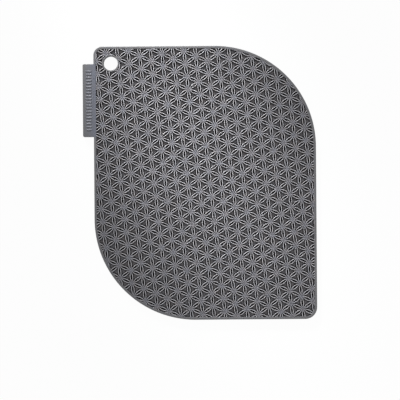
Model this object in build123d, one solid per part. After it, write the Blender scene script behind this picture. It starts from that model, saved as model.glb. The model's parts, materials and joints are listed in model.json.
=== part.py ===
"""Moulded silicone pot holder: a leaf-outlined mat with a rosette relief, a rim, a hanging eyelet and a tab.

Millimetres, +Z up. The origin is the middle of the back face, +Y runs along the mat towards the eyelet end,
and -X is the side that carries the tab. Two corners that face each other are swept in large arcs, and the
other two are nearly square, with the eyelet in one of them.
"""

from build123d import *

import math
import os

# Mat outline
mat_width = 180.0
mat_length = 222.0
swept_corner_radius = 82.0
eyelet_corner_radius = 7.0
far_corner_radius = 9.6

# Thickness, from the back face up
sheet_thickness = 2.0
relief_height = 2.5

# Rim round the mat
rim_width = 2.0
rim_edge_bevel = 0.7

# Rosette relief: petals lie on a triangular grid and leave a three-sided pit between each three of them
rosette_pitch = 10.41
rosette_tilt = 6.1
rosette_start_x = 4.1
rosette_start_y = -0.82
petal_width = 2.45
least_pit_bite = 2.0

# Hanging eyelet
eyelet_bore = 11.5
eyelet_wall = 1.3
eyelet_from_side = 14.0
eyelet_from_end = 13.5
eyelet_edge_bevel = 0.3

# Tab on the side
tab_length = 59.0
tab_reach = 8.8
tab_from_end = 14.1
tab_corner_radius = 1.2
tab_edge_bevel = 0.4

# Room left between pieces that are set into each other
seat_clearance = 0.05

mat_thickness = sheet_thickness + relief_height
panel_inset = rim_width + seat_clearance
eyelet_radius = eyelet_bore / 2 + eyelet_wall
eyelet_x = eyelet_from_side - mat_width / 2
eyelet_y = mat_length / 2 - eyelet_from_end
tab_outer_x = -mat_width / 2 - tab_reach
tab_inner_x = rim_width - mat_width / 2
tab_y = mat_length / 2 - tab_from_end - tab_length / 2


def corner_radius(x, y, inset):
    """Radius of the outline's corner in the quarter of the mat that holds the point."""
    if x * y > 0:
        radius = swept_corner_radius
    elif x < 0:
        radius = eyelet_corner_radius
    else:
        radius = far_corner_radius
    return max(radius - inset, 0)


def leaf_outline(inset):
    """Face with the mat's outline, drawn in from its edge by the inset."""
    half_width = mat_width / 2 - inset
    half_length = mat_length / 2 - inset
    quarters = ((-1, 1), (-1, -1), (1, -1), (1, 1))
    corners = [(half_width * across, half_length * along) for across, along in quarters]
    radii = [corner_radius(x, y, inset) for x, y in corners]
    return make_face(FilletPolyline(*corners, radius=radii, close=True)).face()


def depth_inside(x, y, inset):
    """How far a point lies inside the outline with that inset, negative outside it."""
    radius = corner_radius(x, y, inset)
    across = abs(x) - (mat_width / 2 - inset - radius)
    along = abs(y) - (mat_length / 2 - inset - radius)
    return radius - math.hypot(max(across, 0), max(along, 0)) - min(max(across, along), 0)


def is_on_outline(point):
    """True on the mat's outer wall, false on the rim's inner wall."""
    return depth_inside(point.X, point.Y, 0) < rim_width / 2


def panel_outline():
    """Face that the sheet and the relief share: inside the rim, clear of the eyelet and the tab's root."""
    seat = Location((eyelet_x, eyelet_y)) * Circle(eyelet_radius + seat_clearance)
    return (leaf_outline(panel_inset) - seat).face()


def hub(row, column):
    """Middle of a rosette on the triangular grid."""
    first = math.radians(rosette_tilt - 30)
    second = math.radians(rosette_tilt + 30)
    x = rosette_start_x + rosette_pitch * (row * math.cos(first) + column * math.cos(second))
    y = rosette_start_y + rosette_pitch * (row * math.sin(first) + column * math.sin(second))
    return x, y


def pit_corners(hubs):
    """Corners of the pit between three rosettes, half a petal's width in from the lines that join them."""
    middle_x = sum(x for x, y in hubs) / 3
    middle_y = sum(y for x, y in hubs) / 3
    hub_reach = rosette_pitch / math.sqrt(3)
    share = (hub_reach - petal_width) / hub_reach
    return [(middle_x + share * (x - middle_x), middle_y + share * (y - middle_y)) for x, y in hubs]


def relief_pits():
    """Faces of all pits that bite far enough into the panel."""
    reach = math.ceil(math.hypot(mat_width, mat_length) / rosette_pitch)
    pits = []
    for row in range(-reach, reach + 1):
        for column in range(-reach, reach + 1):
            pair = (hub(row + 1, column), hub(row, column + 1))
            for third in (hub(row, column), hub(row + 1, column + 1)):
                corners = pit_corners((*pair, third))
                if max(depth_inside(x, y, panel_inset) for x, y in corners) > least_pit_bite:
                    pits.append(Face(Wire.make_polygon([Vector(*corner) for corner in corners], close=True)))
    return pits


def make_base_sheet():
    """Plain back sheet under the relief."""
    return extrude(panel_outline(), sheet_thickness)


def make_rosette_relief():
    """Petals that stand on the sheet, with pits right down to it."""
    petals = panel_outline() - relief_pits()
    largest = max(petals.faces(), key=lambda face: face.area)
    return extrude(Location((0, 0, sheet_thickness)) * largest, relief_height)


def tab_block(start_x, end_x, length):
    """Straight length of the tab's section, from the back face to the top of the rim."""
    middle = Location(((start_x + end_x) / 2, tab_y))
    return extrude(middle * Rectangle(end_x - start_x, length), mat_thickness)


def make_border_rim():
    """Rim with its upper outer edge eased, open where the tab is let in."""
    rim = extrude(leaf_outline(0) - leaf_outline(rim_width), mat_thickness)
    top_edges = rim.faces().sort_by(Axis.Z)[-1].edges()
    rim = chamfer([edge for edge in top_edges if is_on_outline(edge @ 0.5)], rim_edge_bevel)
    return rim - tab_block(-mat_width / 2, tab_inner_x, tab_length + 2 * seat_clearance)


def make_hanging_eyelet():
    """Smooth ring round the hanging hole, through the whole thickness."""
    place = Location((eyelet_x, eyelet_y))
    ring = extrude(place * (Circle(eyelet_radius) - Circle(eyelet_bore / 2)), mat_thickness)
    return chamfer(ring.edges().group_by(Axis.Z)[-1], eyelet_edge_bevel)


def make_label_tab():
    """Flat tab, rounded at its free corners, with a root that takes the rim's place behind it."""
    tab = tab_block(tab_outer_x, -mat_width / 2, tab_length)
    free_corners = tab.edges().filter_by(Axis.Z).group_by(Axis.X)[0]
    tab = fillet(free_corners, tab_corner_radius)
    top_edges = tab.edges().group_by(Axis.Z)[-1].sort_by(Axis.X)
    tab = chamfer(top_edges[:-1], tab_edge_bevel)
    return tab + tab_block(-mat_width / 2, tab_inner_x, tab_length)


pieces = {
    "base_sheet": make_base_sheet(),
    "rosette_relief": make_rosette_relief(),
    "border_rim": make_border_rim(),
    "hanging_eyelet": make_hanging_eyelet(),
    "label_tab": make_label_tab(),
}

os.makedirs("parts", exist_ok=True)
for name, piece in pieces.items():
    export_step(piece, f"parts/{name}.step")
    print(f"{name}: {piece.volume:.0f} mm3")
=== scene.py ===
"""Moulded silicone pot holder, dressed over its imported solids.

The file is laid out as an add-on and is run as a script. Lengths are in metres, in the frame of the solids:
the back face lies at z = 0, the rosette side looks up along +Z, the eyelet end is +Y and the tab side is -X.
"""

import json
import math

import bmesh
import bpy
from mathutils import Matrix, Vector


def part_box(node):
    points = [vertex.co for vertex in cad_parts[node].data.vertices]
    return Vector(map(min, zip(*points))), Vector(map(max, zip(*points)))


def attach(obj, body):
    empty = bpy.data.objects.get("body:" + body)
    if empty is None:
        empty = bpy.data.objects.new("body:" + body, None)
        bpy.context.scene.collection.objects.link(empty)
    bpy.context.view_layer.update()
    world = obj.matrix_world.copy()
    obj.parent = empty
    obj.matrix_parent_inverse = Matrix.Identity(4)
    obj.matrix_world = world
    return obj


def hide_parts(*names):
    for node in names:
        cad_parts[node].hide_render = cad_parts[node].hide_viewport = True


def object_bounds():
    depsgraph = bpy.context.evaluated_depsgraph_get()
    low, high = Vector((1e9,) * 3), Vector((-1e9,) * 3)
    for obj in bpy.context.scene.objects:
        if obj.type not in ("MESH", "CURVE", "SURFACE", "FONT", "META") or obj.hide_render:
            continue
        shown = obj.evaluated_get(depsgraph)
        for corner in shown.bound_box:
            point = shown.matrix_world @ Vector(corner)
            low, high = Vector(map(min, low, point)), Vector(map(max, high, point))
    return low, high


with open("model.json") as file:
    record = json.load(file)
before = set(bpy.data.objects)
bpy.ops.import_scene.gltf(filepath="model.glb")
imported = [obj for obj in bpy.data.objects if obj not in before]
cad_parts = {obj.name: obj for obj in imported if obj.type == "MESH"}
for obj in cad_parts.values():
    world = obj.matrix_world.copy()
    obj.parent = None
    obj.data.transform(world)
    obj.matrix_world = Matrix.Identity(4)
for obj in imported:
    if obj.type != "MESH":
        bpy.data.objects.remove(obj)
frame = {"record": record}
cad_low, cad_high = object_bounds()
rim_low, rim_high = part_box("border_rim")
sheet_low, sheet_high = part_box("base_sheet")
relief_low, relief_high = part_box("rosette_relief")
eyelet_low, eyelet_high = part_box("hanging_eyelet")
tab_low, tab_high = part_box("label_tab")
hanging_hole = next(mount for mount in frame["record"]["mounts"] if mount["name"] == "hanging_hole")

bl_info = {
    "name": "Silicone Pot Holder",
    "version": (1, 0, 0),
    "blender": (4, 5, 0),
    "location": "3D View > Sidebar > Pot Holder",
    "description": "Models a rosette-patterned silicone pot holder over its measured solids",
    "category": "Add Mesh",
}

MM = 0.001
MERGE_DISTANCE = 0.002 * MM
FULL_TURN = 2 * math.pi
QUARTER_TURN = FULL_TURN / 4
PETALS = 6
PETAL_TURN = FULL_TURN / PETALS
DEPTH_WEIGHT = 2
UP = (0, 0, 1)


def length(name, description, default):
    """Property for a length in metres."""
    return bpy.props.FloatProperty(
        name=name, description=description, default=default, precision=5, unit="LENGTH"
    )


def angle(name, description, default):
    """Property for an angle, whose default is in degrees."""
    return bpy.props.FloatProperty(
        name=name, description=description, default=math.radians(default), subtype="ANGLE"
    )


def power(name, description, default):
    """Property for a lamp's power in watts."""
    return bpy.props.FloatProperty(name=name, description=description, default=default, min=0, unit="POWER")


def count(name, description, default):
    """Property for a whole number of at least one."""
    return bpy.props.IntProperty(name=name, description=description, default=default, min=1)


def share(name, description, default):
    """Property for a share from 0 to 1."""
    return bpy.props.FloatProperty(
        name=name, description=description, default=default, min=0, max=1, subtype="FACTOR"
    )


def colour(name, description, default):
    """Property for a linear colour."""
    return bpy.props.FloatVectorProperty(
        name=name, description=description, default=default, size=3, min=0, max=1, subtype="COLOR"
    )


class LeafShape(bpy.types.PropertyGroup):
    """Outline, rim and eyelet of the mat."""

    swept_corner: length("Swept corner", "Radius of the two large corners", 82.0 * MM)
    eyelet_corner: length("Eyelet corner", "Radius of the corner beside the eyelet", 7.0 * MM)
    far_corner: length("Far corner", "Radius of the corner across from the eyelet", 9.6 * MM)
    swept_steps: count("Swept corner steps", "Facets round each large corner", 48)
    small_steps: count("Small corner steps", "Facets round each small corner", 14)
    eyelet_steps: count("Eyelet steps", "Facets round the eyelet", 72)
    rim_width: length("Rim width", "Width of the smooth rim", 2.0 * MM)
    outer_rounding: length("Outer rounding", "Radius of the rim's upper outer edge", 0.5 * MM)
    inner_rounding: length("Inner rounding", "Radius where a smooth band drops to the relief", 0.3 * MM)
    hole_rounding: length("Hole rounding", "Radius of the edge round the hanging hole", 0.5 * MM)
    back_rounding: length("Back rounding", "Radius of the edges round the back face", 0.15 * MM)
    edge_steps: count("Edge steps", "Facets round each rounded edge", 4)
    weld: length("Weld", "How far the relief runs into the rim and the eyelet", 0.1 * MM)


class RosetteShape(bpy.types.PropertyGroup):
    """Ring ribs that cross to make the six-petalled rosettes."""

    pitch: length("Pitch", "Distance from a rosette's middle to the next", 10.41 * MM)
    tilt: angle("Tilt", "Turn of the rosette grid", 6.1)
    start_x: length("Start X", "Middle of one rosette, across the mat", 4.1 * MM)
    start_y: length("Start Y", "Middle of one rosette, along the mat", -0.82 * MM)
    ring_radius: length("Ring radius", "Radius of a rib's crest about the next rosette's middle", 10.06 * MM)
    rib_width: length("Rib width", "Width of a rib at its shoulders", 0.72 * MM)
    crest_width: length("Crest width", "Width of the level top of a rib", 0.30 * MM)
    rib_crown: length("Rib crown", "Height of the rounded top of a rib", 0.26 * MM)
    rib_draft: length("Rib draft", "How much a rib widens on each side down to its foot", 0.07 * MM)
    rib_sink: length("Rib sink", "How far a rib's foot runs into the sheet", 0.05 * MM)
    hub_dish: length("Hub dish", "How far a rosette's middle lies below the crests of its ribs", 0.12 * MM)
    rib_sweep: angle("Rib sweep", "Turn of a rib from the middle of its petal to where its hub starts", 16)
    rib_steps: count("Rib steps", "Facets along that turn", 2)


class TabShape(bpy.types.PropertyGroup):
    """Tab on the side, with a row of plain grip ridges."""

    corner: length("Corner", "Radius of the free corners", 1.2 * MM)
    corner_steps: count("Corner steps", "Facets round each free corner", 8)
    edge: length("Edge", "Rounding of the free edges", 0.4 * MM)
    ridge_count: count("Ridges", "Number of grip ridges", 20)
    ridge_pitch: length("Ridge pitch", "Distance from ridge to ridge", 2.5 * MM)
    ridge_from_edge: length("Ridge from edge", "Middle of the ridges from the tab's free edge", 4.9 * MM)
    ridge_length: length("Ridge length", "Length of a ridge across the tab", 4.6 * MM)
    ridge_width: length("Ridge width", "Width of a ridge along the tab", 1.0 * MM)
    ridge_height: length("Ridge height", "Height of a ridge over the tab", 0.5 * MM)
    ridge_rounding: length("Ridge rounding", "Rounding of a ridge's upper edges", 0.3 * MM)
    ridge_steps: count("Ridge steps", "Facets round a ridge's upper edges", 3)


class SiliconeFinish(bpy.types.PropertyGroup):
    """Colours and surface of the silicone, with painted shade on the ribs' flanks and in the slots, and
    painted light in the pits, on the crests and on the ridge tops.
    """

    band: colour("Band", "Colour of the rim and the eyelet", (0.145, 0.145, 0.152))
    # The ribs' tones by height are painted light: painted shade down the flanks, a painted highlight on the
    # crests, and the hub tone between them.
    hub: colour("Hub", "Colour of the ribs round a rosette's middle", (0.222, 0.222, 0.249))
    # The crest colour is a painted highlight. It is paler than the silicone where the rounded crests catch
    # the light, not a mark of rubbing.
    crest: colour("Crest", "Colour of the crests, where hands and pans rub them", (0.480, 0.475, 0.490))
    crest_fade: length("Crest fade", "Depth below the crests where their colour starts to fade", 0.02 * MM)
    # The flank colour is painted shade, darker than the silicone on the ribs' sides.
    flank_shade: colour("Flank", "Colour of the ribs' sides", (0.090, 0.087, 0.092))
    # The pit colour is painted light: paler than the silicone, to make up for the shade the ribs cast into
    # the pits.
    pit: colour("Pit", "Colour of the sheet in the pits", (0.262, 0.254, 0.267))
    # The slot colour is painted shade: near black along the petals' axes, where the narrow slots take little
    # light.
    slot: colour("Slot", "Colour of the sheet in the petals' slots", (0.024, 0.023, 0.025))
    slot_reach: length("Slot reach", "Half the width of the dark band along a petal's axis", 1.3 * MM)
    pit_fade: length("Pit fade", "Width over which the dark band fades into the pits", 1.3 * MM)
    tab: colour("Tab", "Colour of the tab's free edge", (0.140, 0.140, 0.143))
    tab_root: colour("Tab root", "Colour of the tab where it joins the rim", (0.138, 0.146, 0.176))
    # The ridge colour is a painted highlight: the grip ridges' tops are paler where they catch the light,
    # not from rubbing.
    ridge: colour("Ridge", "Colour of the grip ridges' tops, where fingers rub them", (0.280, 0.288, 0.320))
    roughness: share("Roughness", "Roughness of the moulded surface", 0.5)
    gloss: share("Gloss", "Specular level of the silicone", 0.5)
    pit_gloss: share("Pit gloss", "Specular level of the sheet down in the pits", 0.15)


class StudioSetup(bpy.types.PropertyGroup):
    """Camera, light and floor."""

    view_width: length("View width", "Width that the camera sees at the mat's upper side", 324.2 * MM)
    view_x: length("View X", "Middle of the view across the mat", -4.37 * MM)
    view_y: length("View Y", "Middle of the view along the mat", -13.91 * MM)
    lens: count("Lens", "Focal length of the camera in millimetres", 100)
    view_turn: angle("View turn", "Turn of the camera about its line of sight", -0.43)
    key_x: length("Key X", "Point across the mat that the key lamp is aimed at", -8.0 * MM)
    key_y: length("Key Y", "Point along the mat that the key lamp is aimed at", 38.0 * MM)
    key_turn: angle("Key turn", "Direction of the key lamp, from +X towards +Y", 114)
    key_rise: angle("Key rise", "Height of the key lamp over the floor", 25)
    key_distance: length("Key distance", "Distance of the key lamp from the mat", 0.7)
    key_size: length("Key size", "Side of the key lamp", 0.14)
    key_spread: angle("Key spread", "Cone that the grid on the key lamp leaves open", 14)
    key_power: power("Key power", "Power of the key lamp", 0.145)
    ambient: share("Ambient", "Strength of the room's even light", 0.58)
    floor_size: length("Floor size", "Side of the floor", 6.0)
    floor_gap: length("Floor gap", "How far the floor lies under the mat", 0.1 * MM)
    floor_glow: share("Floor glow", "Share of the floor's white that the object's shadow leaves", 0.96)


# Outline of the mat

def corners(leaf):
    """Corners of the mat in turn, anticlockwise from the tab side: arc middle, radius and steps."""
    swept, near, far = leaf.swept_corner, leaf.eyelet_corner, leaf.far_corner
    return (
        (Vector((rim_low.x + swept, rim_low.y + swept, 0)), swept, leaf.swept_steps),
        (Vector((rim_high.x - far, rim_low.y + far, 0)), far, leaf.small_steps),
        (Vector((rim_high.x - swept, rim_high.y - swept, 0)), swept, leaf.swept_steps),
        (Vector((rim_low.x + near, rim_high.y - near, 0)), near, leaf.small_steps),
    )


def ring_points(middle, radius, start, sweep, steps, height):
    """Points along an arc, both ends included."""
    turns = [start + sweep * step / steps for step in range(steps + 1)]
    return [(middle.x + radius * math.cos(t), middle.y + radius * math.sin(t), height) for t in turns]


def leaf_loop(leaf, inset, height):
    """Points round the mat's outline, drawn in by the inset."""
    points = []
    for quarter, (middle, radius, steps) in enumerate(corners(leaf)):
        start = math.pi + quarter * QUARTER_TURN
        points += ring_points(middle, radius - inset, start, QUARTER_TURN, steps, height)
    return points


def eyelet_middle():
    """Middle of the hanging hole on the back face."""
    return Vector((hanging_hole["pos_m"][0], hanging_hole["pos_m"][1], 0))


def eyelet_radius():
    """Outer radius of the eyelet."""
    return (eyelet_high.x - eyelet_low.x) / 2


def is_on_mat(leaf, point):
    """True for a point inside the mat's outline."""
    if point.x * point.y > 0:
        radius = leaf.swept_corner
    elif point.x < 0:
        radius = leaf.eyelet_corner
    else:
        radius = leaf.far_corner
    over_x = abs(point.x) - rim_high.x + radius
    over_y = abs(point.y) - rim_high.y + radius
    outside = math.hypot(max(over_x, 0), max(over_y, 0)) + min(max(over_x, over_y), 0) - radius
    return outside < 0


def rounded_section(width, low, high, roundings, steps):
    """Rectangular section with rounded corners: low start, low end, high end and high start."""
    places = ((0, low, 1, 1), (width, low, -1, 1), (width, high, -1, -1), (0, high, 1, -1))
    points = []
    for quarter, ((across, height, inwards, upwards), radius) in enumerate(zip(places, roundings)):
        middle = Vector((across + inwards * radius, height + upwards * radius, 0))
        arc = ring_points(middle, radius, math.pi + quarter * QUARTER_TURN, QUARTER_TURN, steps, 0)
        points += [(x, y) for x, y, _ in arc]
    return points


# Modelling steps

def only(piece):
    """Selects one object alone and makes it active."""
    bpy.ops.object.select_all(action="DESELECT")
    piece.select_set(True)
    bpy.context.view_layer.objects.active = piece


def edit(piece):
    """Opens a piece in edit mode with all of it selected."""
    only(piece)
    bpy.ops.object.mode_set(mode="EDIT")
    bpy.ops.mesh.select_mode(type="VERT")
    bpy.ops.mesh.select_all(action="SELECT")


def leave_edit():
    """Goes back to object mode."""
    bpy.ops.object.mode_set(mode="OBJECT")


def select_edges(piece, is_wanted):
    """Selects the edges of the piece in edit mode that pass the test."""
    bpy.ops.mesh.select_mode(type="EDGE")
    bpy.ops.mesh.select_all(action="DESELECT")
    mesh = bmesh.from_edit_mesh(piece.data)
    for edge in mesh.edges:
        if is_wanted(edge):
            edge.select_set(True)
    bmesh.update_edit_mesh(piece.data)


def is_upright(edge):
    """True for an edge along Z."""
    first, last = edge.verts
    return (first.co - last.co).xy.length < MERGE_DISTANCE


def is_level(edge):
    """True for an edge across Z, on the upper or the lower side of a flat plate."""
    first, last = edge.verts
    return abs(first.co.z - last.co.z) < MERGE_DISTANCE


def new_loop(name, points):
    """Closed loop of edges through the points, shaped from a circle with as many corners."""
    bpy.ops.object.select_all(action="DESELECT")
    bpy.ops.mesh.primitive_circle_add(vertices=len(points))
    loop = bpy.context.object
    loop.name = name
    for vertex, point in zip(loop.data.vertices, points):
        vertex.co = point
    return loop


def new_block(name, low, high):
    """Box between two corners, with its place in its mesh."""
    bpy.ops.object.select_all(action="DESELECT")
    bpy.ops.mesh.primitive_cube_add(size=1, location=(low + high) / 2, scale=high - low)
    block = bpy.context.object
    block.name = name
    bpy.ops.object.transform_apply(location=True, rotation=True, scale=True)
    return block


def joined(first, *others):
    """Joins objects into the first one."""
    only(first)
    for other in others:
        other.select_set(True)
    bpy.ops.object.join()
    return first


def apply_modifiers(piece):
    """Applies all modifiers of a piece in their order."""
    only(piece)
    for modifier in list(piece.modifiers):
        bpy.ops.object.modifier_apply(modifier=modifier.name)


def add_row(piece, copies, step):
    """Adds an array of copies of the piece, each a step on from the last."""
    row = piece.modifiers.new("Row", "ARRAY")
    row.count = copies
    row.use_relative_offset = False
    row.use_constant_offset = True
    row.constant_offset_displace = step


def combine(piece, tool, operation):
    """Cuts or joins a closed piece with a closed tool, which is used up."""
    cut = piece.modifiers.new("Combine", "BOOLEAN")
    cut.operation = operation
    cut.solver = "MANIFOLD"
    cut.object = tool
    apply_modifiers(piece)
    bpy.data.objects.remove(tool)


def panel_block(name, leaf, inset, hole_radius, low, high):
    """Slab with the mat's outline and a round hole for the eyelet."""
    outline = new_loop(name, leaf_loop(leaf, inset, low))
    ring = ring_points(eyelet_middle(), hole_radius, 0, FULL_TURN, leaf.eyelet_steps, low)
    block = joined(outline, new_loop(f"{name}_hole", ring[:-1]))
    edit(block)
    bpy.ops.mesh.fill(use_beauty=True)
    bpy.ops.mesh.select_all(action="SELECT")
    bpy.ops.mesh.extrude_region_move(TRANSFORM_OT_translate={"value": (0, 0, high - low)})
    bpy.ops.mesh.select_all(action="SELECT")
    bpy.ops.mesh.normals_make_consistent(inside=False)
    leave_edit()
    return block


def finish_piece(piece, solid, material, smooth_degrees):
    """Ends the modelling of a piece and sets it on the frame in place of its solid."""
    edit(piece)
    bpy.ops.mesh.remove_doubles(threshold=MERGE_DISTANCE)
    bpy.ops.mesh.normals_make_consistent(inside=False)
    leave_edit()
    only(piece)
    bpy.ops.object.shade_smooth_by_angle(angle=math.radians(smooth_degrees))
    piece.data.materials.clear()
    piece.data.materials.append(material)
    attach(piece, "root")
    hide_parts(solid)


# Rosette ribs

def rib_section(rosette):
    """Radius and height of each corner of a rib's section, from the slot side to the pit side."""
    half = rosette.rib_width / 2
    side = [
        (half + rosette.rib_draft, relief_low.z - rosette.rib_sink),
        (half, relief_high.z - rosette.rib_crown),
        (rosette.crest_width / 2, relief_high.z),
    ]
    slot_side = [(rosette.ring_radius - offset, height) for offset, height in side]
    pit_side = [(rosette.ring_radius + offset, height) for offset, height in reversed(side)]
    return [*slot_side, *pit_side]


def row_gap(pitch):
    """Distance between two rows of rosettes."""
    return pitch * math.sqrt(3) / 2


def rib_end(radius, pitch):
    """Where a line of the rib runs out: on its petal's axis, or between two petals past the middle."""
    if radius < pitch:
        return pitch / 2 - math.sqrt(radius**2 - row_gap(pitch) ** 2), 0
    reach = math.sqrt(radius**2 - pitch**2)
    return reach * math.cos(PETAL_TURN / 2), reach * math.sin(PETAL_TURN / 2)


def model_half_rib(rosette):
    """Half of one rib, from the middle of its petal to the middle of the rosette, which is the origin."""
    pitch = rosette.pitch
    ring_middle = Vector((pitch / 2, -row_gap(pitch), 0))
    section = rib_section(rosette)
    start = [(ring_middle.x, ring_middle.y + radius, height) for radius, height in section]
    rib = new_loop("rosette_ribs", start)
    edit(rib)
    bpy.ops.mesh.spin(steps=rosette.rib_steps, angle=-rosette.rib_sweep, center=ring_middle, axis=UP)
    mesh = bmesh.from_edit_mesh(rib.data)
    for vertex in mesh.verts:
        if vertex.select:
            vertex.co.z = min(vertex.co.z, relief_high.z - rosette.hub_dish / 2)
    bmesh.update_edit_mesh(rib.data)
    bpy.ops.mesh.extrude_edges_move()
    mesh = bmesh.from_edit_mesh(rib.data)
    ends = [vertex for vertex in mesh.verts if vertex.select]
    ends.sort(key=lambda vertex: (vertex.co - ring_middle).xy.length)
    for vertex, (radius, height) in zip(ends, section, strict=True):
        vertex.co = (*rib_end(radius, pitch), min(height, relief_high.z - rosette.hub_dish))
    bmesh.update_edit_mesh(rib.data)
    leave_edit()
    return rib


def close_hub(rib, rosette, is_top):
    """Fans the open edge round the rosette's middle, on its upper or lower side, in to one point."""
    middle_height = (relief_low.z + relief_high.z) / 2
    hub_reach = rosette.pitch / 4

    def is_hub_edge(edge):
        is_near = all(vertex.co.xy.length < hub_reach for vertex in edge.verts)
        is_on_side = all((vertex.co.z > middle_height) == is_top for vertex in edge.verts)
        return edge.is_boundary and is_near and is_on_side

    select_edges(rib, is_hub_edge)
    bpy.ops.mesh.extrude_edges_move()
    bpy.ops.mesh.merge(type="CENTER")
    mesh = bmesh.from_edit_mesh(rib.data)
    for vertex in mesh.verts:
        if vertex.select:
            vertex.co.z = relief_high.z - rosette.hub_dish if is_top else relief_low.z - rosette.rib_sink
    bmesh.update_edit_mesh(rib.data)


def model_rosette(rosette):
    """One rosette about the origin: a half rib, mirrored across its petal and turned about the middle."""
    ribs = model_half_rib(rosette)
    edit(ribs)
    bpy.ops.mesh.duplicate()
    bpy.ops.transform.resize(value=(1, -1, 1), center_override=(0, 0, 0))
    bpy.ops.mesh.select_all(action="SELECT")
    copies = PETALS - 1
    bpy.ops.mesh.spin(steps=copies, dupli=True, angle=copies * PETAL_TURN, center=(0, 0, 0), axis=UP)
    bpy.ops.mesh.select_all(action="SELECT")
    bpy.ops.mesh.remove_doubles(threshold=MERGE_DISTANCE)
    close_hub(ribs, rosette, is_top=True)
    close_hub(ribs, rosette, is_top=False)
    leave_edit()
    return ribs


def spread_rosettes(ribs, rosette):
    """Copies the rosette over a grid that covers the whole mat."""
    tilt = rosette.tilt
    next_column = Vector((math.cos(tilt), math.sin(tilt), 0)) * 2 * row_gap(rosette.pitch)
    next_row = Vector((-math.sin(tilt), math.cos(tilt), 0)) * rosette.pitch
    reach = rim_high.xy.length
    columns = math.ceil(reach / next_column.length)
    rows = math.ceil(reach / next_row.length)
    first = Vector((rosette.start_x, rosette.start_y, 0)) - columns * next_column - rows * next_row
    only(ribs)
    ribs.rotation_euler.z = tilt + PETAL_TURN / 2
    ribs.location = first
    bpy.ops.object.transform_apply(location=True, rotation=True, scale=False)
    add_row(ribs, 2, (next_column + next_row) / 2)
    add_row(ribs, 2 * columns + 1, next_column)
    add_row(ribs, 2 * rows + 1, next_row)
    apply_modifiers(ribs)


def drop_far_rosettes(ribs, leaf, corners_each):
    """Deletes the rosettes that lie wholly off the mat."""
    edit(ribs)
    bpy.ops.mesh.select_all(action="DESELECT")
    mesh = bmesh.from_edit_mesh(ribs.data)
    mesh.verts.ensure_lookup_table()
    for first in range(0, len(mesh.verts), corners_each):
        rosette = mesh.verts[first:first + corners_each]
        if not any(is_on_mat(leaf, vertex.co) for vertex in rosette):
            for vertex in rosette:
                vertex.select_set(True)
    bmesh.update_edit_mesh(ribs.data)
    bpy.ops.mesh.delete(type="VERT")
    leave_edit()


def close_ribs(ribs, section_corners):
    """Joins the rosettes at the middles of their petals and caps the rib ends that are left open."""
    edit(ribs)
    bpy.ops.mesh.remove_doubles(threshold=MERGE_DISTANCE)
    bpy.ops.mesh.fill_holes(sides=section_corners)
    bpy.ops.mesh.select_all(action="SELECT")
    bpy.ops.mesh.normals_make_consistent(inside=False)
    leave_edit()


# Materials

def new_group(name, inputs, outputs):
    """Empty shader node group with named sockets."""
    group = bpy.data.node_groups.new(name, "ShaderNodeTree")
    for direction, sockets in (("INPUT", inputs), ("OUTPUT", outputs)):
        for socket, kind in sockets.items():
            group.interface.new_socket(socket, in_out=direction, socket_type=f"NodeSocket{kind}")
    entry = group.nodes.new("NodeGroupInput")
    end = group.nodes.new("NodeGroupOutput")
    return group, entry, end


def node(tree, kind, settings=None, values=None):
    """New node with its settings and the values of its input sockets."""
    made = tree.nodes.new(f"ShaderNode{kind}")
    for name, value in (settings or {}).items():
        setattr(made, name, value)
    for name, value in (values or {}).items():
        made.inputs[name].default_value = value
    return made


def mould_grain_group():
    """Fine tooth of the mould: a height for bump and the roughness that goes with it."""
    group, entry, end = new_group(
        "mould_grain", {"Position": "Vector", "Grain": "Float", "Roughness": "Float"},
        {"Height": "Float", "Roughness": "Float"},
    )
    links = group.links
    tooth = node(group, "TexNoise", values={"Detail": 3.0, "Roughness": 0.6})
    patches = node(group, "TexNoise", values={"Scale": 140.0, "Detail": 3.0})
    spread = node(
        group, "MapRange", values={"From Min": 0.3, "From Max": 0.7, "To Min": -0.07, "To Max": 0.07}
    )
    links.new(entry.outputs["Position"], tooth.inputs["Vector"])
    links.new(entry.outputs["Grain"], tooth.inputs["Scale"])
    links.new(entry.outputs["Position"], patches.inputs["Vector"])
    links.new(patches.outputs["Fac"], spread.inputs["Value"])
    uneven = combined(group, "ADD", entry.outputs["Roughness"], spread.outputs["Result"])
    links.new(tooth.outputs["Fac"], end.inputs["Height"])
    links.new(uneven, end.inputs["Roughness"])
    return group


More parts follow.
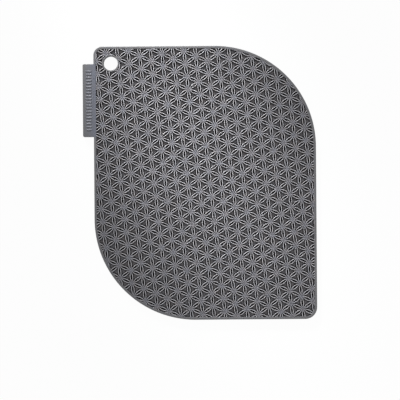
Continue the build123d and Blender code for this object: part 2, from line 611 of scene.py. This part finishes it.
def mottle_group():
    """Uneven tone of pigmented silicone: cool and warm patches and a few pale specks of dust."""
    group, entry, end = new_group(
        "silicone_mottle", {"Position": "Vector", "Color": "Color", "Amount": "Float", "Dust": "Float"},
        {"Color": "Color"},
    )
    links = group.links
    patches = node(group, "TexNoise", values={"Scale": 220.0, "Detail": 3.0, "Roughness": 0.6})
    tints = node(group, "ValToRGB")
    warm, cool = tints.color_ramp.elements
    warm.position = 0.32
    warm.color = (1.06, 0.99, 0.94, 1)
    cool.position = 0.68
    cool.color = (0.94, 1.00, 1.07, 1)
    tinted = node(group, "Mix", {"data_type": "RGBA", "blend_type": "MULTIPLY"})
    specks = node(group, "TexNoise", values={"Scale": 2600.0, "Detail": 1.0})
    sparse = node(group, "MapRange", values={"From Min": 0.70, "From Max": 0.80})
    dusted = node(group, "Mix", {"data_type": "RGBA"})
    dusted.inputs["B"].default_value = (0.42, 0.41, 0.40, 1)
    links.new(entry.outputs["Position"], patches.inputs["Vector"])
    links.new(patches.outputs["Fac"], tints.inputs["Fac"])
    links.new(entry.outputs["Amount"], tinted.inputs["Factor"])
    links.new(entry.outputs["Color"], tinted.inputs["A"])
    links.new(tints.outputs["Color"], tinted.inputs["B"])
    links.new(entry.outputs["Position"], specks.inputs["Vector"])
    links.new(specks.outputs["Fac"], sparse.inputs["Value"])
    amount = combined(group, "MULTIPLY", sparse.outputs["Result"], entry.outputs["Dust"])
    links.new(amount, dusted.inputs["Factor"])
    links.new(tinted.outputs["Result"], dusted.inputs["A"])
    links.new(dusted.outputs["Result"], end.inputs["Color"])
    return group


def shared_group(name, build):
    """Node group of that name, built the first time it is asked for."""
    return bpy.data.node_groups.get(name) or build()


def counted_from(tree, position, start):
    """Socket with the position counted from a start."""
    shift = node(tree, "Mapping", values={"Location": [-value for value in start]})
    tree.links.new(position, shift.inputs["Vector"])
    return shift.outputs["Vector"]


def reach_along(tree, vector, direction):
    """Socket with a vector's reach along a direction, times the direction's length."""
    product = node(tree, "VectorMath", {"operation": "DOT_PRODUCT"})
    product.inputs[1].default_value = direction
    tree.links.new(vector, product.inputs[0])
    return product.outputs["Value"]


def combined(tree, operation, first, last):
    """Socket with the result of an operation on two sockets."""
    result = node(tree, "Math", {"operation": operation})
    tree.links.new(first, result.inputs[0])
    tree.links.new(last, result.inputs[1])
    return result.outputs["Value"]


def along(direction, start=(0, 0, 0)):
    """Measure of a place: its reach from a start along a direction."""

    def measure(tree, position):
        return reach_along(tree, counted_from(tree, position, start), direction)

    return measure


def off_petals(rosette):
    """Measure of a place for the sheet's painted shade and light: distance from the nearest petal's axis
    plus weighted depth in the sheet.
    """

    def measure(tree, position):
        vector = counted_from(tree, position, (rosette.start_x, rosette.start_y, sheet_high.z))
        distances = []
        for pair in range(PETALS // 2):
            turn = rosette.tilt + pair * PETAL_TURN
            folded = node(tree, "Math", {"operation": "PINGPONG"})
            folded.inputs[1].default_value = row_gap(rosette.pitch) / 2
            across = reach_along(tree, vector, (math.cos(turn), math.sin(turn), 0))
            tree.links.new(across, folded.inputs[0])
            distances.append(folded.outputs["Value"])
        nearest = combined(tree, "MINIMUM", combined(tree, "MINIMUM", *distances[:2]), distances[2])
        return combined(tree, "ADD", nearest, reach_along(tree, vector, (0, 0, -DEPTH_WEIGHT)))

    return measure


def tone_ramp(tree, tones):
    """Ramp of colours set at measured places, and the node that scales the measure to it."""
    first, last = tones[0][0], tones[-1][0]
    scale = node(tree, "MapRange", values={"From Min": first, "From Max": last})
    ramp = node(tree, "ValToRGB")
    stops = ramp.color_ramp.elements
    stops[0].color = (*tones[0][1], 1)
    stops[1].color = (*tones[-1][1], 1)
    for place, tone in tones[1:-1]:
        stops.new((place - first) / (last - first)).color = (*tone, 1)
    tree.links.new(scale.outputs["Result"], ramp.inputs["Fac"])
    return scale, ramp


def silicone(name, finish, measure, tones, gloss, mottle, dust, grain):
    """Silicone whose colour follows tones set by a measure of place, with grain, mottling and dust."""
    material = bpy.data.materials.new(name)
    material.use_nodes = True
    tree = material.node_tree
    links = tree.links
    shader = tree.nodes["Principled BSDF"]
    shader.inputs["IOR"].default_value = 1.41
    shader.inputs["Specular IOR Level"].default_value = gloss
    position = node(tree, "TexCoord").outputs["Object"]
    scale, tone = tone_ramp(tree, tones)
    uneven = node(tree, "Group", {"node_tree": shared_group("silicone_mottle", mottle_group)})
    uneven.inputs["Amount"].default_value = mottle
    uneven.inputs["Dust"].default_value = dust
    tooth = node(tree, "Group", {"node_tree": shared_group("mould_grain", mould_grain_group)})
    tooth.inputs["Grain"].default_value = grain
    tooth.inputs["Roughness"].default_value = finish.roughness
    bump = node(tree, "Bump", values={"Strength": 0.5, "Distance": 0.045 * MM})
    links.new(measure(tree, position), scale.inputs["Value"])
    links.new(position, uneven.inputs["Position"])
    links.new(tone.outputs["Color"], uneven.inputs["Color"])
    links.new(uneven.outputs["Color"], shader.inputs["Base Color"])
    links.new(position, tooth.inputs["Position"])
    links.new(tooth.outputs["Height"], bump.inputs["Height"])
    links.new(tooth.outputs["Roughness"], shader.inputs["Roughness"])
    links.new(bump.outputs["Normal"], shader.inputs["Normal"])
    return material


def band_silicone(finish):
    """Silicone of the rim and the eyelet, shared by both."""
    return bpy.data.materials.get("band_silicone") or silicone(
        "band_silicone", finish, along(UP), [(rim_low.z, finish.band), (rim_high.z, finish.band)],
        finish.gloss, mottle=0.5, dust=0.1, grain=2800,
    )


def floor_white(glow):
    """Pale floor that the camera sees as white, with a trace of the object's shadow."""
    material = bpy.data.materials.new("studio_floor")
    material.use_nodes = True
    tree = material.node_tree
    links = tree.links
    shader = tree.nodes["Principled BSDF"]
    shader.inputs["Base Color"].default_value = (0.9, 0.9, 0.9, 1)
    shader.inputs["Roughness"].default_value = 1.0
    shader.inputs["Specular IOR Level"].default_value = 0.0
    light = node(tree, "Emission", values={"Color": (1, 1, 1, 1), "Strength": 1.0})
    amount = node(tree, "Math", {"operation": "MULTIPLY"})
    amount.inputs[1].default_value = glow
    blend = node(tree, "MixShader")
    links.new(seen_directly(tree), amount.inputs[0])
    links.new(amount.outputs["Value"], blend.inputs["Fac"])
    links.new(shader.outputs["BSDF"], blend.inputs[1])
    links.new(light.outputs["Emission"], blend.inputs[2])
    links.new(blend.outputs["Shader"], tree.nodes["Material Output"].inputs["Surface"])
    return material


def seen_directly(tree):
    """Socket that is 1 for what the camera sees straight, in a reflection or through glass."""
    path = node(tree, "LightPath").outputs
    straight_or_mirrored = combined(tree, "MAXIMUM", path["Is Camera Ray"], path["Is Glossy Ray"])
    return combined(tree, "MAXIMUM", straight_or_mirrored, path["Is Transmission Ray"])


# Operators

class BackSheet(bpy.types.Operator):
    """Plain back sheet that carries the relief"""

    bl_idname = "pot_holder.back_sheet"
    bl_label = "Back sheet"

    def execute(self, context):
        leaf = context.scene.pot_holder_leaf
        rosette = context.scene.pot_holder_rosette
        finish = context.scene.pot_holder_finish
        sheet = panel_block("back_sheet", leaf, leaf.rim_width, eyelet_radius(), sheet_low.z, sheet_high.z)
        pit_start = finish.slot_reach + finish.pit_fade
        pit_middle = rosette.pitch / math.sqrt(12)
        back = DEPTH_WEIGHT * (sheet_high.z - sheet_low.z)
        # Painted shade along the petals' slots, fading to paler painted light in the pits; the back face
        # takes the band colour.
        tones = [
            (finish.slot_reach, finish.slot),
            (pit_start, finish.pit),
            (pit_middle, finish.pit),
            (back, finish.band),
        ]
        material = silicone(
            "pit_silicone", finish, off_petals(rosette), tones, finish.pit_gloss,
            mottle=0.6, dust=0.25, grain=2400,
        )
        finish_piece(sheet, "base_sheet", material, smooth_degrees=30)
        return {"FINISHED"}


class RosetteRibs(bpy.types.Operator):
    """Ring ribs that cross in six-petalled rosettes over the whole panel"""

    bl_idname = "pot_holder.rosette_ribs"
    bl_label = "Rosette ribs"

    def execute(self, context):
        leaf = context.scene.pot_holder_leaf
        rosette = context.scene.pot_holder_rosette
        finish = context.scene.pot_holder_finish
        ribs = model_rosette(rosette)
        corners_each = len(ribs.data.vertices)
        spread_rosettes(ribs, rosette)
        drop_far_rosettes(ribs, leaf, corners_each)
        close_ribs(ribs, len(rib_section(rosette)))
        trim = panel_block(
            "panel_trim", leaf, leaf.rim_width - leaf.weld, eyelet_radius() - leaf.weld,
            sheet_low.z, cad_high.z + rosette.rib_crown,
        )
        combine(ribs, trim, "INTERSECT")
        if not all(is_on_mat(leaf, vertex.co) for vertex in ribs.data.vertices):
            raise RuntimeError("The ribs could not be trimmed to the panel")
        # Painted light by height: the flanks take painted shade and the crests a painted highlight.
        tones = [
            (relief_high.z - rosette.rib_crown, finish.flank_shade),
            (relief_high.z - rosette.hub_dish, finish.hub),
            (relief_high.z - finish.crest_fade, finish.crest),
        ]
        material = silicone(
            "rib_silicone", finish, along(UP), tones, finish.gloss, mottle=0.5, dust=0.1, grain=2800
        )
        finish_piece(ribs, "rosette_relief", material, smooth_degrees=60)
        return {"FINISHED"}


class Rim(bpy.types.Operator):
    """Smooth rim round the mat, open where the tab is let in"""

    bl_idname = "pot_holder.rim"
    bl_label = "Rim"

    def execute(self, context):
        leaf = context.scene.pot_holder_leaf
        finish = context.scene.pot_holder_finish
        roundings = (leaf.back_rounding, 0, leaf.inner_rounding, leaf.outer_rounding)
        section = rounded_section(leaf.rim_width, rim_low.z, rim_high.z, roundings, leaf.edge_steps)
        start = Vector((rim_low.x, tab_low.y, 0))
        rim = new_loop("rim", [(start.x + across, start.y, height) for across, height in section])
        headings = (Vector((0, -1, 0)), Vector((1, 0, 0)), Vector((0, 1, 0)), Vector((-1, 0, 0)))
        edit(rim)
        for heading, (middle, _, steps) in zip(headings, corners(leaf)):
            run = (middle - start).dot(heading) * heading
            bpy.ops.mesh.extrude_edges_move(TRANSFORM_OT_translate={"value": run})
            bpy.ops.mesh.spin(steps=steps, angle=-QUARTER_TURN, center=middle, axis=UP)
            start = middle
        last_run = (tab_high - start).dot(headings[0]) * headings[0]
        bpy.ops.mesh.extrude_edges_move(TRANSFORM_OT_translate={"value": last_run})
        bpy.ops.mesh.select_all(action="SELECT")
        bpy.ops.mesh.fill_holes(sides=0)
        leave_edit()
        finish_piece(rim, "border_rim", band_silicone(finish), smooth_degrees=50)
        return {"FINISHED"}


class Eyelet(bpy.types.Operator):
    """Smooth ring round the hanging hole"""

    bl_idname = "pot_holder.eyelet"
    bl_label = "Hanging eyelet"

    def execute(self, context):
        leaf = context.scene.pot_holder_leaf
        finish = context.scene.pot_holder_finish
        bore = hanging_hole["dims"]["r_mm"] * MM
        roundings = (leaf.back_rounding, 0, leaf.inner_rounding, leaf.hole_rounding)
        wall = eyelet_radius() - bore
        section = rounded_section(wall, eyelet_low.z, eyelet_high.z, roundings, leaf.edge_steps)
        middle = eyelet_middle()
        start = [(middle.x + bore + across, middle.y, height) for across, height in section]
        eyelet = new_loop("eyelet", start)
        edit(eyelet)
        bpy.ops.mesh.spin(steps=leaf.eyelet_steps, angle=FULL_TURN, center=middle, axis=UP)
        leave_edit()
        finish_piece(eyelet, "hanging_eyelet", band_silicone(finish), smooth_degrees=50)
        return {"FINISHED"}


class SideTab(bpy.types.Operator):
    """Flat tab with its root in the rim and a row of grip ridges"""

    bl_idname = "pot_holder.side_tab"
    bl_label = "Side tab"

    def execute(self, context):
        leaf = context.scene.pot_holder_leaf
        shape = context.scene.pot_holder_tab
        finish = context.scene.pot_holder_finish
        plate = self.plate(shape, leaf)
        combine(plate, self.root(leaf), "UNION")
        combine(plate, self.ridges(shape), "UNION")
        ridge_weight = (tab_high.x - tab_low.x) / shape.ridge_height
        measure = along((1, 0, ridge_weight), (tab_low.x, 0, tab_high.z))
        # The ridge tops take a painted highlight, paler than the rest of the tab.
        tones = [
            (0, finish.tab),
            (rim_low.x - tab_low.x, finish.tab_root),
            (tab_high.x - tab_low.x, finish.tab_root),
            (tab_high.x - tab_low.x + shape.ridge_from_edge, finish.ridge),
        ]
        material = silicone(
            "tab_silicone", finish, measure, tones, finish.gloss, mottle=0.4, dust=0.1, grain=2800
        )
        finish_piece(plate, "label_tab", material, smooth_degrees=40)
        return {"FINISHED"}

    def plate(self, shape, leaf):
        """Part of the tab that stands out from the rim, sunk a little into the root."""
        inner = Vector((rim_low.x + leaf.rim_width / 2, tab_high.y, tab_high.z))
        plate = new_block("side_tab", tab_low, inner)
        edit(plate)
        free_x = tab_low.x + MERGE_DISTANCE
        select_edges(plate, lambda edge: is_upright(edge) and all(v.co.x < free_x for v in edge.verts))
        bpy.ops.mesh.bevel(offset=shape.corner, segments=shape.corner_steps, affect="EDGES")
        inner_x = inner.x - MERGE_DISTANCE
        select_edges(plate, lambda edge: is_level(edge) and any(v.co.x < inner_x for v in edge.verts))
        bpy.ops.mesh.bevel(offset=shape.edge, segments=leaf.edge_steps, affect="EDGES")
        leave_edit()
        return plate

    def root(self, leaf):
        """Part of the tab that takes the rim's place."""
        root = new_block("tab_root", Vector((rim_low.x, tab_low.y, tab_low.z)), tab_high)
        edit(root)
        inner_x = tab_high.x - MERGE_DISTANCE
        middle_z = (tab_low.z + tab_high.z) / 2
        select_edges(root, lambda edge: all(v.co.x > inner_x and v.co.z > middle_z for v in edge.verts))
        bpy.ops.mesh.bevel(offset=leaf.inner_rounding, segments=leaf.edge_steps, affect="EDGES")
        leave_edit()
        return root

    def ridges(self, shape):
        """Row of grip ridges, sunk into the tab by their own height."""
        step = Vector((0, shape.ridge_pitch, 0))
        middle_y = (tab_low.y + tab_high.y) / 2
        first = Vector((tab_low.x + shape.ridge_from_edge, middle_y, tab_high.z))
        first -= step * (shape.ridge_count - 1) / 2
        half = Vector((shape.ridge_length / 2, shape.ridge_width / 2, shape.ridge_height))
        ridges = new_block("grip_ridges", first - half, first + half)
        edit(ridges)
        select_edges(ridges, lambda edge: all(v.co.z > tab_high.z for v in edge.verts))
        bpy.ops.mesh.bevel(offset=shape.ridge_rounding, segments=shape.ridge_steps, affect="EDGES")
        leave_edit()
        add_row(ridges, shape.ridge_count, step)
        apply_modifiers(ridges)
        return ridges


class Studio(bpy.types.Operator):
    """Floor, light and camera of the photograph"""

    bl_idname = "pot_holder.studio"
    bl_label = "Studio"

    def execute(self, context):
        studio = context.scene.pot_holder_studio
        context.scene.view_settings.view_transform = "Standard"
        self.add_floor(studio)
        self.add_world(context.scene, studio)
        self.add_key(studio)
        self.add_camera(context.scene, studio)
        return {"FINISHED"}

    def add_floor(self, studio):
        """White floor just under the mat."""
        bpy.ops.object.select_all(action="DESELECT")
        place = (0, 0, sheet_low.z - studio.floor_gap)
        bpy.ops.mesh.primitive_plane_add(size=studio.floor_size, location=place)
        floor = bpy.context.object
        floor.name = "studio_floor"
        floor.data.materials.append(floor_white(studio.floor_glow))

    def add_world(self, scene, studio):
        """Even light of a pale room."""
        world = bpy.data.worlds.new("studio_world")
        world.use_nodes = True
        scene.world = world
        back = world.node_tree.nodes["Background"]
        back.inputs["Color"].default_value = (1, 1, 1, 1)
        back.inputs["Strength"].default_value = studio.ambient

    def add_key(self, studio):
        """Soft key lamp from beyond the eyelet end."""
        rise, turn = studio.key_rise, studio.key_turn
        towards = Vector((math.cos(rise) * math.cos(turn), math.cos(rise) * math.sin(turn), math.sin(rise)))
        place = Vector((studio.key_x, studio.key_y, 0)) + towards * studio.key_distance
        aim = towards.to_track_quat("Z", "Y").to_euler()
        bpy.ops.object.select_all(action="DESELECT")
        bpy.ops.object.light_add(type="AREA", location=place, rotation=aim)
        key = bpy.context.object
        key.name = "key_lamp"
        key.data.size = studio.key_size
        key.data.spread = studio.key_spread
        key.data.energy = studio.key_power

    def add_camera(self, scene, studio):
        """Camera straight above the mat."""
        bpy.ops.object.select_all(action="DESELECT")
        bpy.ops.object.camera_add(rotation=(0, 0, studio.view_turn))
        camera = bpy.context.object
        camera.name = "studio_camera"
        camera.data.lens = studio.lens
        distance = studio.view_width * camera.data.lens / camera.data.sensor_width
        camera.location = (studio.view_x, studio.view_y, cad_high.z + distance)
        scene.camera = camera


class PotHolderPanel(bpy.types.Panel):
    """Sidebar panel with the sizes, the colours and the steps of the pot holder"""

    bl_idname = "VIEW3D_PT_pot_holder"
    bl_label = "Pot Holder"
    bl_space_type = "VIEW_3D"
    bl_region_type = "UI"
    bl_category = "Pot Holder"

    def draw(self, context):
        for operator in OPERATORS:
            self.layout.operator(operator.bl_idname)
        for attribute, group in GROUPS.items():
            box = self.layout.box()
            for value in group.__annotations__:
                box.prop(getattr(context.scene, attribute), value)


GROUPS = {
    "pot_holder_leaf": LeafShape,
    "pot_holder_rosette": RosetteShape,
    "pot_holder_tab": TabShape,
    "pot_holder_finish": SiliconeFinish,
    "pot_holder_studio": StudioSetup,
}
OPERATORS = (BackSheet, RosetteRibs, Rim, Eyelet, SideTab, Studio)
CLASSES = (*GROUPS.values(), *OPERATORS, PotHolderPanel)


def register():
    """Registers the classes and hangs the property groups on the scene."""
    for item in CLASSES:
        bpy.utils.register_class(item)
    for attribute, group in GROUPS.items():
        setattr(bpy.types.Scene, attribute, bpy.props.PointerProperty(type=group))


def unregister():
    """Takes the property groups and the classes away again."""
    for attribute in GROUPS:
        delattr(bpy.types.Scene, attribute)
    for item in reversed(CLASSES):
        bpy.utils.unregister_class(item)


def main():
    """Builds the pot holder piece by piece and sets up the studio."""
    register()
    bpy.ops.pot_holder.back_sheet()
    bpy.ops.pot_holder.rosette_ribs()
    bpy.ops.pot_holder.rim()
    bpy.ops.pot_holder.eyelet()
    bpy.ops.pot_holder.side_tab()
    bpy.ops.pot_holder.studio()


if __name__ == "__main__":
    main()
